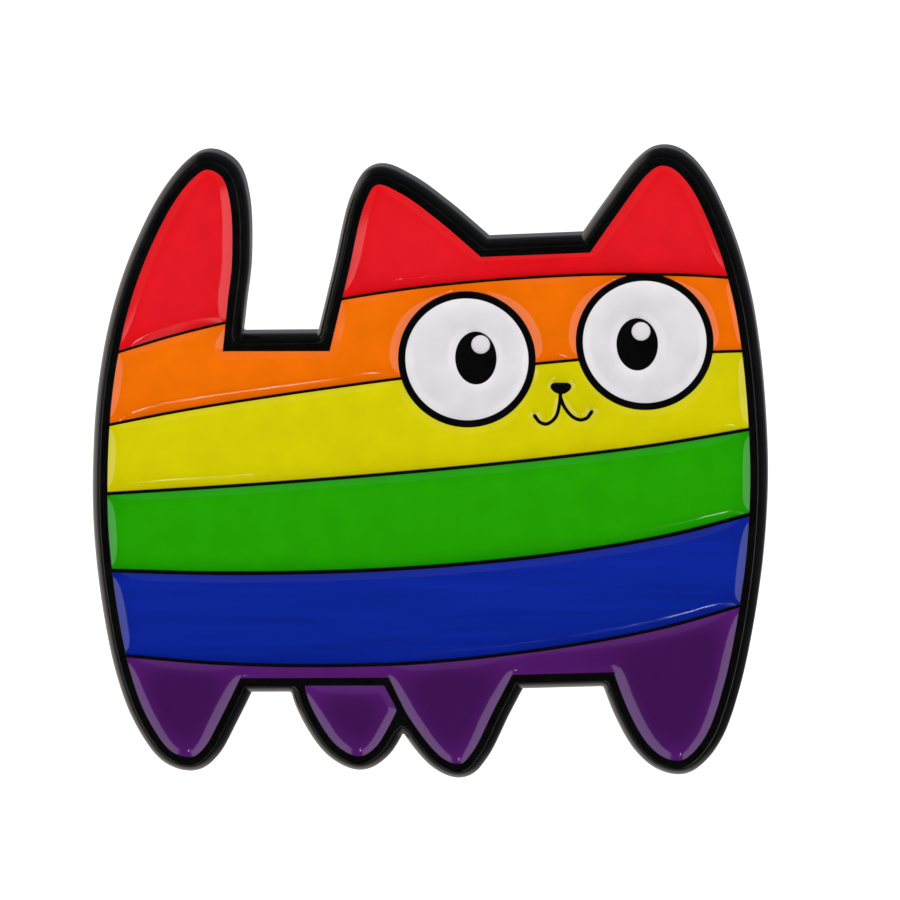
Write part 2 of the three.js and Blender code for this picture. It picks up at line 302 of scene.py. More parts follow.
def triangulated(rings, inner=()):
    """Triangles of the area inside the first ring and outside the others, through the inner points."""
    points = np.concatenate([*rings, inner] if len(inner) else rings)
    found = delaunay_2d_cdt([Vector(p) for p in points.tolist()], ring_edges(rings), [], 1, 1e-9)
    triangles = np.array(found[2])
    if len(found[0]) != len(points):
        raise ValueError("two outlines touch or cross")
    centres = points[triangles].mean(1)
    return points, triangles[in_area(centres, rings)]


def ring_edges(rings):
    """Pairs of neighbouring points, counted through all the rings."""
    edges, start = [], 0
    for ring in rings:
        around = np.arange(len(ring)) + start
        edges += list(zip(around.tolist(), np.roll(around, -1).tolist()))
        start += len(ring)
    return edges


def walled(rows, rings):
    """The walls through rows of points, each of them all the rings at one depth."""
    edges = ring_edges(rings)
    count = len(rows[0])
    faces = []
    for row in range(len(rows) - 1):
        low, high = row * count, (row + 1) * count
        faces += [(a + low, b + low, b + high, a + high) for a, b in edges]
    return faces


# ---------------------------------------------------------------- pocket and enamel shapes

FINE = (0.09, 0.5)         # spacing, and how far from the wall it is used
MEDIUM = (0.18, 1.1)
COARSE = (0.36, 99)
WALL_SPACE = 0.6           # of the fine spacing: how far the first points keep from a wall
SOLVER_STEPS = 400
SOLVER_END = 1e-16         # the energy left at which the solver stops


def lattice(rings, spacing):
    """A triangular lattice over the area of the rings, kept off the walls."""
    low, high = rings[0].min(0), rings[0].max(0)
    rows = np.arange(low[1], high[1], spacing * math.sqrt(3) / 2)
    points = np.array([(x + spacing / 2 * (row % 2), z) for row, z in enumerate(rows)
                       for x in np.arange(low[0], high[0], spacing)])
    return points[in_area(points, rings)]


def distances(points, others):
    """How far each point is from the nearest of the others."""
    tree = KDTree(len(others))
    for i, (x, z) in enumerate(others.tolist()):
        tree.insert((x, z, 0), i)
    tree.balance()
    return np.array([tree.find((x, z, 0))[2] for x, z in points.tolist()])


def inner_points(rings):
    """Points for a smooth surface: dense by the walls, where it curves, and sparse elsewhere."""
    walls = np.concatenate(rings)
    chosen, nearest = [], WALL_SPACE * FINE[0]
    for spacing, reach in (FINE, MEDIUM, COARSE):
        points = lattice(rings, spacing)
        distance = distances(points, walls)
        chosen.append(points[(distance > nearest) & (distance <= reach)])
        nearest = reach
    return np.concatenate(chosen)


def meniscus(points, triangles, held):
    """The height of still liquid that wets its walls, as held at the first points, falling away from them.

    It solves reach^2 * laplacian(h) = h on the triangles by conjugate gradients.
    """
    i, j, weight = [], [], []
    mass = np.zeros(len(points))
    for a, b, c in ((0, 1, 2), (1, 2, 0), (2, 0, 1)):
        p, q, r = (points[triangles[:, k]] for k in (a, b, c))
        u, v = p - r, q - r
        doubled = np.abs(u[:, 0] * v[:, 1] - u[:, 1] * v[:, 0]) + 1e-12
        i.append(triangles[:, a])
        j.append(triangles[:, b])
        weight.append((u * v).sum(1) / doubled / 2)
        mass += np.bincount(triangles[:, a], doubled / 6, len(points))
    i, j, weight = (np.concatenate(values) for values in (i, j, weight))
    weight = weight * MENISCUS_REACH ** 2

    def applied(h):
        flow = weight * (h[i] - h[j])
        return mass * h + np.bincount(i, flow, len(h)) - np.bincount(j, flow, len(h))

    diagonal = mass + np.bincount(i, weight, len(mass)) + np.bincount(j, weight, len(mass))
    wall = np.arange(len(points)) < len(held)
    height = np.zeros(len(points))
    height[wall] = held
    rest = np.where(wall, 0, -applied(height))
    step = rest / diagonal
    energy = rest @ step
    for _ in range(SOLVER_STEPS):
        moved = np.where(wall, 0, applied(step))
        share = energy / (step @ moved)
        height += share * step
        rest -= share * moved
        fresh = rest / diagonal
        energy, before = rest @ fresh, energy
        if energy < SOLVER_END:
            break
        step = fresh + step * energy / before
    return height


# ---------------------------------------------------------------- materials

def new_material(name, values):
    """A new material with one Principled shader, its even values set on the shader's own sockets."""
    material = bpy.data.materials.new(name)
    material.use_nodes = True
    shader = material.node_tree.nodes["Principled BSDF"]
    for socket, value in values.items():
        shader.inputs[socket].default_value = value
    return material, material.node_tree, shader


def noise(tree, scale, detail=2.0, stretch=(1, 1, 1)):
    """A noise texture in object space, scale in cells per millimetre."""
    place = tree.nodes.new("ShaderNodeTexCoord")
    mapping = tree.nodes.new("ShaderNodeMapping")
    mapping.inputs["Scale"].default_value = [s / MM for s in stretch]
    texture = tree.nodes.new("ShaderNodeTexNoise")
    texture.inputs["Scale"].default_value = scale
    texture.inputs["Detail"].default_value = detail
    tree.links.new(place.outputs["Object"], mapping.inputs["Vector"])
    tree.links.new(mapping.outputs["Vector"], texture.inputs["Vector"])
    return texture.outputs["Fac"]


def ramp(tree, value, stops):
    """Colours along a value from 0 to 1."""
    node = tree.nodes.new("ShaderNodeValToRGB")
    elements = node.color_ramp.elements
    while len(elements) < len(stops):
        elements.new(0.5)
    for element, (position, colour) in zip(elements, stops):
        element.position = position
        element.color = (*colour, 1)
    tree.links.new(value, node.inputs["Fac"])
    return node.outputs["Color"]


def bump(tree, shader, height, depth, below=None):
    """Raises the surface by height, where depth is in millimetres."""
    node = tree.nodes.new("ShaderNodeBump")
    node.inputs["Distance"].default_value = depth * MM
    tree.links.new(height, node.inputs["Height"])
    if below is not None:
        tree.links.new(below, node.inputs["Normal"])
    tree.links.new(node.outputs["Normal"], shader.inputs["Normal"])
    return node.outputs["Normal"]


def linear(*rgb):
    """Linear colour from 8-bit sRGB."""
    return tuple(c / 255 / 12.92 if c <= 10 else ((c / 255 + 0.055) / 1.055) ** 2.4 for c in rgb)


def shaded(colour, factor):
    return tuple(c * factor for c in colour)


LONG_WAVES = 0.02          # heights of the enamel's waves and ripples, in mm
RIPPLES = 0.0008


def enamel_material(name, colour, edge, mottle, stretch):
    """Glossy soft enamel: another tone by its walls, where it climbs them, lighter on purple and white as
    painted highlight and slightly deeper on the other colours; with faint clouds and the waves of poured
    resin.
    """
    material, tree, shader = new_material(name, {"Roughness": 0.07, "IOR": 1.5})
    rise = tree.nodes.new("ShaderNodeAttribute")
    rise.attribute_name = "rise"
    # tone by the walls: painted highlight on purple and white, a slightly deeper tone on the other colours
    wall_tone_and_painted_highlight = ramp(tree, rise.outputs["Fac"], [(0.0, colour), (0.2, colour), (0.8, edge)])
    clouds = noise(tree, 0.6, 4, stretch)
    tone = ramp(tree, clouds, [(0.3, (1 - mottle,) * 3), (0.7, (1 + mottle,) * 3)])
    mix = tree.nodes.new("ShaderNodeMix")
    mix.data_type = "RGBA"
    mix.blend_type = "MULTIPLY"
    mix.inputs["Factor"].default_value = 1
    tree.links.new(wall_tone_and_painted_highlight, mix.inputs["A"])
    tree.links.new(tone, mix.inputs["B"])
    tree.links.new(mix.outputs["Result"], shader.inputs["Base Color"])
    long_waves = bump(tree, shader, noise(tree, 0.35, 1), LONG_WAVES)
    bump(tree, shader, noise(tree, 3, 2), RIPPLES, long_waves)
    return material


def black_metal(name, rough, grain, depth):
    """Dyed black plating with a fine grain and slightly uneven gloss."""
    material, tree, shader = new_material(name, {"Metallic": 0.0, "IOR": 1.7})
    tree.links.new(ramp(tree, noise(tree, 0.8, 3), [
        (0.3, linear(5, 5, 5)), (0.7, linear(10, 9, 10))]), shader.inputs["Base Color"])
    tree.links.new(ramp(tree, noise(tree, 1.5, 3), [
        (0.3, (rough * 0.8,) * 3), (0.7, (rough * 1.2,) * 3)]), shader.inputs["Roughness"])
    bump(tree, shader, noise(tree, grain, 3), depth)
    return material


def bright_metal(name, colour, rough):
    """Nickel plate with faint polishing marks and a soft haze that varies."""
    material, tree, shader = new_material(name, {"Metallic": 1.0})
    tree.links.new(ramp(tree, noise(tree, 0.7, 3), [
        (0.3, shaded(colour, 0.9)), (0.7, colour)]), shader.inputs["Base Color"])
    tree.links.new(ramp(tree, noise(tree, 1.2, 4), [
        (0.3, (rough * 0.7,) * 3), (0.7, (rough * 1.4,) * 3)]), shader.inputs["Roughness"])
    bump(tree, shader, noise(tree, 9, 2, (1, 1, 0.15)), 0.0015)
    return material


ENAMEL_COLOURS = {                              # in the middle of a pocket, and by its walls; the lighter purple and white by the walls are painted highlight
    "red": (linear(230, 24, 36), linear(222, 12, 22)),
    "orange": (linear(243, 113, 0), linear(238, 106, 0)),
    "yellow": (linear(214, 204, 0), linear(208, 198, 0)),
    "green": (linear(35, 160, 0), linear(26, 148, 0)),
    "blue": (linear(10, 36, 148), linear(8, 32, 140)),
    # purple and white: the lighter tone by the walls is painted highlight
    "purple": (linear(63, 18, 82), linear(84, 26, 108)),
    "white": (linear(222, 220, 223), linear(228, 225, 229)),
}
CLOUDS = (0.05, (1, 1, 1))                      # strength, and how much closer they lie on each axis
BLUE_STREAKS = (0.14, (0.15, 1, 2.5))

enamel_materials = {
    name: enamel_material(f"enamel_{name}", middle, edge, *(BLUE_STREAKS if name == "blue" else CLOUDS))
    for name, (middle, edge) in ENAMEL_COLOURS.items()
}
rim_black = black_metal("rim_black", 0.15, 4, 0.001)
back_black = black_metal("back_black", 0.5, 7, 0.02)
post_black = black_metal("post_black", 0.3, 5, 0.001)
cup_nickel = bright_metal("cup_nickel", linear(205, 205, 203), 0.2)
wing_nickel = bright_metal("wing_nickel", linear(208, 206, 202), 0.24)

# ---------------------------------------------------------------- plate and enamel

ENAMEL_NODES = sorted(name for name in frame["nodes"] if name.startswith("enamel_"))


def mm_box(node):
    low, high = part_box(node)
    return np.array(low) / MM, np.array(high) / MM


plate_low, plate_high = mm_box("base_plate")
FRONT, REAR = plate_low[1], plate_high[1]
LAND = FRONT + LIP
enamel_low, enamel_high = mm_box(ENAMEL_NODES[0])
ENAMEL_LEVEL, FLOOR = enamel_low[1], enamel_high[1]


def pocket_rings(node):
    """An enamel node's smooth outlines, the outer one first, turning so that grown() enlarges the area."""
    rings = [smooth_ring(ring) for ring in face_rings(node, ENAMEL_LEVEL)]
    rings.sort(key=lambda ring: -abs(area(ring)))
    return [ring if (area(ring) > 0) == (i == 0) else ring[::-1] for i, ring in enumerate(rings)]


pockets = {node: pocket_rings(node) for node in ENAMEL_NODES}


def arc(start, end, sweep, steps):
    """Points of an elliptical arc between two [offset, depth] corners, starting along the depth."""
    angles = np.radians(np.linspace(0, sweep, steps + 1))
    across = (1 - np.cos(angles)) / (1 - np.cos(angles[-1]))
    down = np.sin(angles) / np.sin(angles[-1])
    return [(start[0] + (end[0] - start[0]) * a, start[1] + (end[1] - start[1]) * d)
            for a, d in zip(across, down)]


def plate_blank():
    """The struck plate before its pockets: rounded back edge, straight wall and rounded shoulder."""
    outer = smooth_ring(face_rings("base_plate", REAR)[0])
    outer = eased(outer if area(outer) > 0 else outer[::-1], CORNER_EASE)
    section = arc((0, REAR - BACK_EDGE), (BACK_EDGE, REAR), 90, BACK_EDGE_STEPS)[::-1]
    section += arc((0, FRONT + SHOULDER_DROP), (SHOULDER_WIDTH, FRONT), SHOULDER_SWEEP, SHOULDER_STEPS)
    section += [(SHOULDER_WIDTH + LIP_WIDTH, LAND)]
    vertices, faces = loft([at_depth(grown(outer, -offset), y) for offset, y in section])
    return build("base_plate_shell", vertices, faces, [rim_black, back_black])


def pocket_cutter():
    """What is taken out for the enamel: straight pockets with flared mouths."""
    section = [(0, FLOOR), (0, LAND + POCKET_EDGE), (0.3 * POCKET_EDGE, LAND + 0.3 * POCKET_EDGE),
               (POCKET_EDGE, LAND), (POCKET_EDGE, LAND - CUT_BEYOND)]
    parts = []
    for rings in pockets.values():
        rows = [[grown(ring, SEAT_GAP + offset) for ring in rings] for offset, y in section]
        points = [at_depth(np.concatenate(row), y) for row, (offset, y) in zip(rows, section)]
        bottom, top = triangulated(rows[0])[1], triangulated(rows[-1])[1]
        top = top + (len(rows) - 1) * len(points[0])
        parts.append((np.concatenate(points), walled(points, rings) + bottom.tolist() + top.tolist()))
    return build("pocket_cutter", *joined(parts), [rim_black])


def panel_cutter():
    """The smooth sunk panel in the back, with drafted sides."""
    panel = face_rings("base_plate", 0)[0]
    low, high = panel.min(0), panel.max(0)
    ring = rounded_rectangle(low, high, PANEL_CORNER)
    section = [(0, 0), (0, 0.6 * REAR), (PANEL_DRAFT, REAR), (PANEL_DRAFT, REAR + CUT_BEYOND)]
    return build("panel_cutter", *loft([at_depth(grown(ring, offset), y) for offset, y in section]), [])


def rounded_rectangle(low, high, radius, steps=6):
    """A rectangle with round corners, as a ring."""
    corners = [(high[0], high[1]), (low[0], high[1]), (low[0], low[1]), (high[0], low[1])]
    middle = (np.array(low) + high) / 2
    ring = []
    for quarter, corner in enumerate(corners):
        centre = corner + np.sign(middle - corner) * radius
        for angle in np.linspace(quarter, quarter + 1, steps + 1) * math.pi / 2:
            ring.append(centre + radius * np.array([math.cos(angle), math.sin(angle)]))
    return np.array(ring)


def base_plate():
    plate = plate_blank()
    subtract(plate, pocket_cutter())
    subtract(plate, panel_cutter())
    soften(plate, 20)
    weighted = plate.modifiers.new("flat faces stay flat", "WEIGHTED_NORMAL")
    weighted.keep_sharp = True
    apply_modifiers(plate)
    for polygon in plate.data.polygons:
        sandblasted = polygon.normal.y > 0.9 and polygon.center.y > (REAR - 0.02) * MM
        polygon.material_index = int(sandblasted)
    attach(plate, "badge")
    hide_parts("base_plate")


def climb(node):
    """How far the enamel climbs at each point of its walls, at most 1."""
    others = np.concatenate([ring for other in pockets if other != node for ring in pockets[other]])
    found = []
    for ring in pockets[node]:
        thin = gaps_filled(distances(ring, others) < THIN_LINE, SHORT_GAP)
        share = np.where(thin, THIN_LINE_RISE, 1.0)
        for _ in range(CLIMB_EASE):
            share = (np.roll(share, 1) + 2 * share + np.roll(share, -1)) / 4
        found.append(share)
    return np.concatenate(found)


def gaps_filled(flags, reach):
    """The flags round a ring, set too in gaps of up to twice that many points."""
    shifts = range(-reach, reach + 1)
    spread = np.any([np.roll(flags, shift) for shift in shifts], 0)
    return np.all([np.roll(spread, shift) for shift in shifts], 0)


def enamel(node):
    """One poured colour: its surface climbs the walls around it."""
    rings = [grown(ring, SEAT_GAP + BITE) for ring in pockets[node]]
    edge = sum(len(ring) for ring in rings)
    points, triangles = triangulated(rings, inner_points(rings))
    rise = meniscus(points, triangles, climb(node))
    surface = at_depth(points, ENAMEL_LEVEL)
    surface[:, 1] -= MENISCUS_RISE * rise
    floor = at_depth(points[:edge], FLOOR)
    count = len(surface)
    walls = [(a, b, b + count, a + count) for a, b in ring_edges(rings)]
    bottom = triangulated(rings)[1] + count
    piece = build(f"{node}_fill", np.concatenate([surface, floor]),
                  triangles.tolist() + walls + bottom.tolist(),
                  [enamel_materials[node.split("_")[1]]], smooth=50)
    attribute = piece.data.attributes.new("rise", "FLOAT", "POINT")
    attribute.data.foreach_set("value", np.concatenate([rise, np.ones(edge)]).astype(np.float32))
    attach(piece, "badge")
    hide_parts(node)


base_plate()
for node in pockets:
    enamel(node)

# ---------------------------------------------------------------- posts and clutches

def filleted(corners, steps=4):
    """A path through (x, y, radius) corners, each rounded by its radius."""
    path = []
    for i, (x, y, radius) in enumerate(corners):
        here = np.array([x, y])
        if radius == 0 or i in (0, len(corners) - 1):
            path.append(here)
            continue
        before, after = np.array(corners[i - 1][:2]) - here, np.array(corners[i + 1][:2]) - here
        lengths = np.linalg.norm(before), np.linalg.norm(after)
        half = math.acos(np.clip(before @ after / lengths[0] / lengths[1], -1, 1)) / 2
        reach = min(radius / math.tan(half), 0.48 * min(lengths))
        start, end = here + before / lengths[0] * reach, here + after / lengths[1] * reach
        for t in np.linspace(0, 1, steps + 1):
            path.append(start * (1 - t) ** 2 + 2 * here * t * (1 - t) + end * t ** 2)
    return np.array(path)


def turned(name, path, axis, start, material, segments=80, closed=False, smooth=35):
    """A piece turned about the line along y through axis. The path is [radius, distance behind start]."""
    angles = np.linspace(0, 2 * math.pi, segments, endpoint=False)
    rings = [np.column_stack([axis[0] + r * np.cos(angles), np.full(segments, start + back),
                              axis[1] + r * np.sin(angles)]) for r, back in path]
    vertices, faces = loft(rings + rings[:1] if closed else rings, capped=False)
    piece = build(name, vertices, faces, [material])
    weld = bmesh.new()
    weld.from_mesh(piece.data)
    bmesh.ops.remove_doubles(weld, verts=weld.verts, dist=0.0005 * MM)
    bmesh.ops.recalc_face_normals(weld, faces=weld.faces)
    weld.to_mesh(piece.data)
    weld.free()
    soften(piece, smooth)
    return piece


POST_RADIUS = 0.575
POST_GROOVE = (6.1, 6.58, 0.12)      # start, end, depth
POST_POINT = 1.7
FLANGE_THICKNESS = 0.35
SOLDER = (1.05, 0.7)                 # how far the fillet spreads on the flange, and how far it climbs


def post(side):
    """The soldered post: flange, fillet of solder, shank with a groove, sharp point."""
    low, high = mm_box(f"{side}_post")
    flange, length = (high[0] - low[0]) / 2, high[1] - low[1]
    groove, end, depth = POST_GROOVE
    waist = POST_RADIUS - depth
    path = filleted([
        (0, 0, 0), (flange, 0, 0.1), (flange, FLANGE_THICKNESS, 0.14),
        (SOLDER[0], FLANGE_THICKNESS + 0.01, 0.3), (POST_RADIUS, SOLDER[1], 0.3),
        (POST_RADIUS, groove, 0.04), (waist, groove + depth, 0.06), (waist, end - depth, 0.06),
        (POST_RADIUS, end, 0.04), (POST_RADIUS, length - POST_POINT, 0.9),
        (0.55 * POST_RADIUS, length - 0.3 * POST_POINT, 0.9), (0.09, length - 0.06, 0.05), (0, length, 0)])
    piece = turned(f"{side}_post_turned", path, (low + high)[[0, 2]] / 2, low[1], post_black, segments=48)
    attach(piece, "badge")
    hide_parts(f"{side}_post")


CUP_METAL = 0.32
CUP_CORNER = 0.75
CUP_LIP = 0.6
CUP_BORE = 0.78
CUP_BOSS = 1.2
CUP_BOSS_HEIGHT = 0.15
CUP_RING = ((2.6, 0), (2.85, 0.09), (3.25, 0.09), (3.5, 0))     # the pressed ring: radius, depth


def clutch_cup(side):
    """The stamped dish with its rolled lip, pressed ring and boss around the hole."""
    low, high = mm_box(f"{side}_clutch_cup")
    radius, depth = (high[0] - low[0]) / 2, high[1] - low[1]
    inner = radius - CUP_METAL
    outside = [(ring, pressed, 0.2) for ring, pressed in CUP_RING]
    inside_ring = [(ring, CUP_METAL + pressed, 0.2) for ring, pressed in reversed(CUP_RING)]
    path = filleted([
        (CUP_BORE, 0.03, 0), (CUP_BORE + 0.05, 0, 0.03), *outside,
        (radius, 0, CUP_CORNER * 1.4), (radius, depth, 0.38),
        (radius - CUP_LIP, depth, 0.14), (radius - CUP_LIP, depth - CUP_METAL, 0.1),
        (inner, depth - CUP_METAL, 0.12), (inner, CUP_METAL, CUP_CORNER * 1.2), *inside_ring,
        (CUP_BOSS + 0.25, CUP_METAL, 0.1), (CUP_BOSS, CUP_METAL + CUP_BOSS_HEIGHT, 0.1),
        (CUP_BORE, CUP_METAL + CUP_BOSS_HEIGHT, 0.05), (CUP_BORE, 0.03, 0)])[:-1]
    piece = turned(f"{side}_clutch_dish", path, (low + high)[[0, 2]] / 2, low[1], cup_nickel,
                   segments=128, closed=True)
    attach(piece, f"{side}_clutch")
    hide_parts(f"{side}_clutch_cup")


WING_METAL = 0.25
WING_LEAF = {"outer": 1.2, "inner": 1.95}     # height of the flat leaf above the dish's front face
WING_LEAF_END = 3.2
WING_STAND = 4.45                    # distance of the standing blade from the post's axis
WING_REACH = 1.7                     # leaf's end beyond the post's axis
WING_SLOT = 1.4                      # end of the slot beside the post
WING_JAW = 0.61                      # radius of the hole for the post
WING_NECK = 4                        # width at the dish's lip
WING_WIDTH = 6.4
WING_EDGE = 0.06                     # rounding of the strip's edges
WING_FOOT = ((4.05, 0.84), (4.4, 0.95))         # the bend between the leaf and the standing blade
WING_BLADE = (1.6, 2.9, 4.3)         # heights: the foot of the blade, its lean's start and its widest part
WING_LEAN = 0.3                      # how far the blade leans out by its widest part
WING_OUTLINE = (2.9, 4.3, 5.5)       # heights of the waist, the hip and the shoulder


def clutch_wing(side, place):
    """One spring wing, bent from a flat strip with a slotted hole for the post."""
    low, high = mm_box(f"{side}_clutch_{place}_wing")
    cup_low, cup_high = mm_box(f"{side}_clutch_cup")
    axis = ((cup_low + cup_high) / 2)[[0, 2]]
    heading = 1 if (low + high)[0] / 2 > axis[0] else -1
    tip = (high[0] if heading > 0 else low[0]) - axis[0]
    top = high[1] - cup_low[1]
    leaf = WING_LEAF[place]
    foot, lean, widest = WING_BLADE
    bend = spline(np.array([(WING_LEAF_END, leaf), *WING_FOOT, (WING_STAND, foot), (WING_STAND, lean),
                            (WING_STAND + WING_LEAN, widest), (abs(tip) - 0.11, top - 0.05)]), 24)
    bend = np.concatenate([[(-WING_REACH, leaf)], bend])
    way = np.concatenate([[0], np.cumsum(np.linalg.norm(np.diff(bend, axis=0), axis=1))])
    length = way[-1]
    standing = bend[:, 0] > WING_STAND - 0.02
    waist, hip, shoulder = np.interp(WING_OUTLINE, bend[standing, 1], way[standing])

    edge = spline(np.array([(waist, WING_NECK / 2), (hip, WING_WIDTH / 2), (shoulder, WING_WIDTH / 2 - 0.3),
                            (length - 0.25, 1.7), (length, 0)]), 16)
    half = np.concatenate([[(0, WING_NECK / 2)], edge])
    strip = np.concatenate([half * (1, -1), half[-2::-1]])
    rings = [smooth_ring(strip, 0.14), keyhole()[::-1]]
    inset = [grown(ring, -WING_EDGE) for ring in rings]
    points, triangles = triangulated(inset, lattice([grown(ring, -0.15) for ring in rings], 0.22))
    rim, count = np.concatenate(rings), len(points)

    def bent(flat, off):
        """Places flat [along, across] points on the bent strip, off its middle surface."""
        x = np.interp(flat[:, 0], way, bend[:, 0])
        back = np.interp(flat[:, 0], way, bend[:, 1])
        slope = [np.interp(flat[:, 0], way, np.gradient(axis_values, way)) for axis_values in bend.T]
        size = np.hypot(*slope)
        return np.column_stack([axis[0] + heading * (x - slope[1] / size * off),
                                cup_low[1] + back + slope[0] / size * off, axis[1] + flat[:, 1]])

    thick = WING_METAL / 2
    layers = [bent(points, thick), bent(rim, thick - WING_EDGE),
              bent(rim, WING_EDGE - thick), bent(points, -thick)]
    starts = np.cumsum([0] + [len(layer) for layer in layers])
    faces = triangles.tolist() + (triangles + starts[3]).tolist()
    for upper, lower in zip(starts, starts[1:4]):
        faces += [(a + upper, b + upper, b + lower, a + lower) for a, b in ring_edges(rings)]
    piece = build(f"{side}_clutch_{place}_spring", np.concatenate(layers), faces, [wing_nickel], smooth=32)
    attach(piece, f"{side}_{place}_wing")
    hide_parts(f"{side}_clutch_{place}_wing")


def keyhole():
    """The hole for the post, with a slot that lets the jaw spring."""
    angles = np.radians(np.linspace(90, 270, 15))
    round_end = [(WING_REACH + WING_JAW * math.cos(a), WING_JAW * math.sin(a)) for a in angles]
    end = WING_REACH + WING_SLOT
    return smooth_ring(np.array(round_end + [(end, -WING_JAW), (end, WING_JAW)]), 0.12)


for side in ("left", "right"):
    post(side)
    clutch_cup(side)
    for place in ("outer", "inner"):
        clutch_wing(side, place)

# ---------------------------------------------------------------- camera, light and floor

CAMERA_AZIMUTH, CAMERA_ELEVATION = math.radians(4.6), math.radians(10)
CAMERA_DISTANCE = 420
CAMERA_TARGET = Vector((1.17, -1, 0.7))
CAMERA_LENS = 296.6
FLOOR_DROP = 100
FLOOR_HALF = 30                      # metres from its middle to its sides

PANEL_EDGES = (19, 20.5, 46, 52)       # degrees: where the panels begin to shine, and where they end
PANEL_LOW_END = (-0.33, -0.2)          # cosines
PANEL_HIGH_END = (0.9, 0.96)
PANEL_RADIANCE = 1.5
VEIL_RADIANCE = 0.2                    # below the panels
LAMP_OFF, LAMP_TILT, LAMP_RADIUS = 19, -13.5, 0.85     # degrees
LAMP_RADIANCE = 14
FILL = 0.45                            # what matt surfaces get from all round
BRIGHT_SIDE = (-0.75, 0, -0.66)
BRIGHT_SIDE_EDGE = (-0.25, 0.6)        # how far towards it the tent starts to brighten, and is bright
WARM, COOL = (1, 0.93, 0.87), (0.86, 0.9, 1)
TENT_BRIGHT = [(at, shaded(WARM, value)) for at, value in (
    (0, 0), (0.25, 0.03), (0.4, 0.35), (0.55, 1), (0.9, 1), (1, 0.45))]
TENT_DARK = [(at, shaded(COOL, value)) for at, value in (
    (0, 0), (0.3, 0.02), (0.5, 0.06), (0.88, 0.1), (0.97, 0.24), (1, 0.2))]

SOFTBOXES = {"left_box": -38, "right_box": 28}     # their azimuths, in degrees
SOFTBOX_ELEVATION, SOFTBOX_WIDTH, SOFTBOX_HEIGHT = 5, 26, 50     # degrees
SOFTBOX_RADIANCE = 1.25
SOFTBOX_DISTANCE = 700


def camera():
    back = Vector((math.sin(CAMERA_AZIMUTH) * math.cos(CAMERA_ELEVATION),
                   -math.cos(CAMERA_AZIMUTH) * math.cos(CAMERA_ELEVATION), math.sin(CAMERA_ELEVATION)))
    up = back.cross(Vector((1, 0, 0))).normalized()      # keeps the pin's own X axis level in the picture
    right = up.cross(back)
    place = Matrix((right, up, back)).transposed().to_4x4()
    place.translation = (CAMERA_TARGET + back * CAMERA_DISTANCE) * MM
    data = bpy.data.cameras.new("camera")
    data.lens = CAMERA_LENS
    data.clip_start = 0.01
    view = bpy.data.objects.new("camera", data)
    view.matrix_world = place
    bpy.context.scene.collection.objects.link(view)
    bpy.context.scene.camera = view


def softbox(name, azimuth):
    """A rectangular panel that faces the pin. Only matt surfaces see it: glossy ones see the tent."""
    distance = SOFTBOX_DISTANCE * MM
    data = bpy.data.lights.new(name, "AREA")
    data.shape = "RECTANGLE"
    data.size = 2 * distance * math.tan(math.radians(SOFTBOX_WIDTH) / 2)
    data.size_y = 2 * distance * math.tan(math.radians(SOFTBOX_HEIGHT) / 2)
    data.energy = SOFTBOX_RADIANCE * math.pi * data.size * data.size_y
    light = bpy.data.objects.new(name, data)
    away = direction_of(math.radians(azimuth), math.radians(SOFTBOX_ELEVATION))
    light.location = away * distance
    light.rotation_euler = away.to_track_quat("Z", "Y").to_euler()
    light.visible_glossy = False
    bpy.context.scene.collection.objects.link(light)


def direction_of(azimuth, elevation):
    """Azimuth 0 is straight in front of the pin, and +X is at a quarter turn. Both are in radians."""
    return Vector((math.sin(azimuth) * math.cos(elevation), -math.cos(azimuth) * math.cos(elevation),
                   math.sin(elevation)))


def floor():
    material = new_material("floor_white", {
        "Roughness": 0.9, "Base Color": (0.8, 0.8, 0.8, 1),
        "Emission Color": (1, 1, 1, 1), "Emission Strength": 0.8})[0]
    half, z = FLOOR_HALF, -FLOOR_DROP * MM
    corners = [(-half, -half, z), (half, -half, z), (half, half, z), (-half, half, z)]
    mesh = bpy.data.meshes.new("floor")
    mesh.from_pydata(corners, [], [(0, 1, 2, 3)])
    mesh.materials.append(material)
    piece = bpy.data.objects.new("floor", mesh)
    bpy.context.scene.collection.objects.link(piece)
    piece.visible_glossy = False


def math_node(tree, operation, *values, clamp=False):
    node = tree.nodes.new("ShaderNodeMath")
    node.operation = operation
    node.use_clamp = clamp
    for socket, value in zip(node.inputs, values):
        if isinstance(value, (int, float)):
            socket.default_value = value
        else:
            tree.links.new(value, socket)
    return node.outputs[0]


def along(tree, direction, axis):
    """How far a direction points along an axis."""
    node = tree.nodes.new("ShaderNodeVectorMath")
    node.operation = "DOT_PRODUCT"
    node.inputs[1].default_value = axis
    tree.links.new(direction, node.inputs[0])
    return node.outputs["Value"]


def rising(tree, value, low, high):
    """0 below low and 1 above high, with a smooth step between them."""
    node = tree.nodes.new("ShaderNodeMapRange")
    node.interpolation_type = "SMOOTHSTEP"
    node.inputs["From Min"].default_value = low
    node.inputs["From Max"].default_value = high
    tree.links.new(value, node.inputs["Value"])
    return node.outputs["Result"]


def mixed(tree, factor, a, b):
    """Colour a where factor is 0 and b where it is 1."""
    node = tree.nodes.new("ShaderNodeMix")
    node.data_type = "RGBA"
    tree.links.new(factor, node.inputs["Factor"])
    for socket, value in ((node.inputs["A"], a), (node.inputs["B"], b)):
        if isinstance(value, tuple):
            socket.default_value = (*value, 1)
        else:
            tree.links.new(value, socket)
    return node.outputs["Result"]


